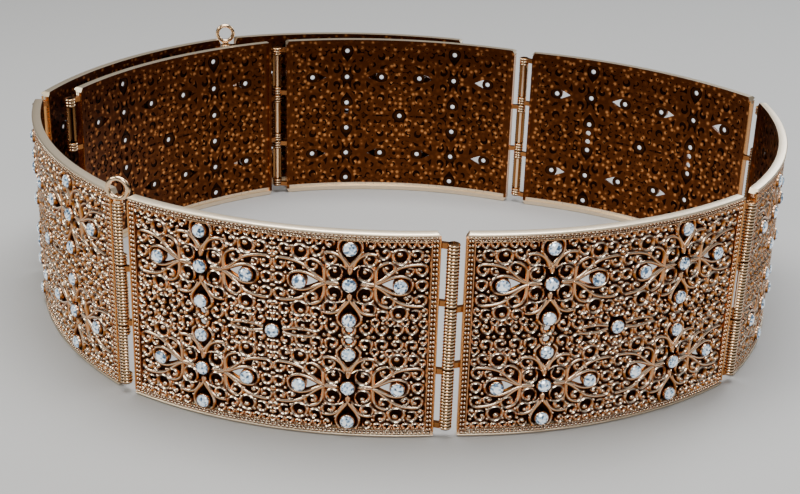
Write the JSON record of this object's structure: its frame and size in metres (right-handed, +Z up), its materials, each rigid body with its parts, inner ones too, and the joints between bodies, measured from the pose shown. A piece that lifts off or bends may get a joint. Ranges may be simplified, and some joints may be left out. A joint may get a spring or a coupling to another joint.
{
  "type": "rhinestone belt",
  "caption": "Hinged metal belt of curved filigree panels set with clear cut stones, closed in an oval with overlapping ends and pull-ring hinge pins.",
  "frame": {"origin": "middle of the closed belt's box, on the surface that the belt stands on", "axes": "+Z up along the hinge axes, front of the belt towards -Y, as worn and as pictured"},
  "size_m": [0.2635, 0.2133, 0.0704],
  "materials": {
    "rose_metal": "rose gold plate, polished crests with dark toned recesses",
    "pin_metal": "polished pale gold plate",
    "crystal": "clear cut crystal with foiled back"
  },
  "bodies": {
    "front_left": {"panel_front_left": "rose_metal", "stones_front_left": "crystal", "pin_front": "pin_metal"},
    "front_right": {"panel_front_right": "rose_metal", "stones_front_right": "crystal", "pin_front_right": "pin_metal"},
    "right": {"panel_right": "rose_metal", "stones_right": "crystal", "pin_back_right": "pin_metal"},
    "back_right": {"panel_back_right": "rose_metal", "stones_back_right": "crystal", "pin_back_middle": "pin_metal"},
    "back_middle": {"panel_back_middle": "rose_metal", "stones_back_middle": "crystal", "pin_back_left": "pin_metal"},
    "back_left": {"panel_back_left": "rose_metal", "stones_back_left": "crystal"},
    "left": {"panel_left": "rose_metal", "stones_left": "crystal"},
    "outer_left": {"panel_outer_left": "rose_metal", "stones_outer_left": "crystal", "pin_outer_left": "pin_metal"},
    "outer_middle": {"panel_outer_middle": "rose_metal", "stones_outer_middle": "crystal"},
    "ring_pin_front_left": {"ring_pin_front_left": "pin_metal"},
    "ring_pin_back": {"ring_pin_back": "pin_metal"}
  },
  "joints": [
    {"name": "hinge_front", "type": "hinge", "parent": "front_left", "child": "front_right", "pos_m": [0.01591, -0.10305, 0.0325], "axis": [0, 0, 1], "range_deg": [-3, 1.5]},
    {"name": "hinge_front_right", "type": "hinge", "parent": "front_right", "child": "right", "pos_m": [0.10674, -0.06146, 0.0325], "axis": [0, 0, 1], "range_deg": [0, 1.5]},
    {"name": "hinge_back_right", "type": "hinge", "parent": "right", "child": "back_right", "pos_m": [0.12887, 0.03595, 0.0325], "axis": [0, 0, 1], "range_deg": [0, 10]},
    {"name": "hinge_back_middle", "type": "hinge", "parent": "back_right", "child": "back_middle", "pos_m": [0.0436, 0.088, 0.0325], "axis": [0, 0, 1], "range_deg": [0, 60]},
    {"name": "hinge_back_left", "type": "hinge", "parent": "back_middle", "child": "back_left", "pos_m": [-0.0563, 0.08748, 0.0325], "axis": [0, 0, 1], "range_deg": [0, 90]},
    {"name": "hinge_front_left", "type": "hinge", "parent": "front_left", "child": "left", "pos_m": [-0.08212, -0.08382, 0.0325], "axis": [0, 0, 1], "range_deg": [0, 120]},
    {"name": "hinge_outer_left", "type": "hinge", "parent": "left", "child": "outer_left", "pos_m": [-0.12979, 0.00398, 0.0325], "axis": [0, 0, 1], "range_deg": [0, 120]},
    {"name": "hinge_outer_middle", "type": "hinge", "parent": "outer_left", "child": "outer_middle", "pos_m": [-0.0773, 0.08897, 0.0325], "axis": [0, 0, 1], "range_deg": [0, 120]},
    {"name": "pull_front_left", "type": "slide", "parent": "left", "child": "ring_pin_front_left", "axis": [0, 0, 1], "range_m": [0, 0.062]},
    {"name": "pull_back", "type": "slide", "parent": "outer_middle", "child": "ring_pin_back", "axis": [0, 0, 1], "range_m": [0, 0.062]}
  ]
}
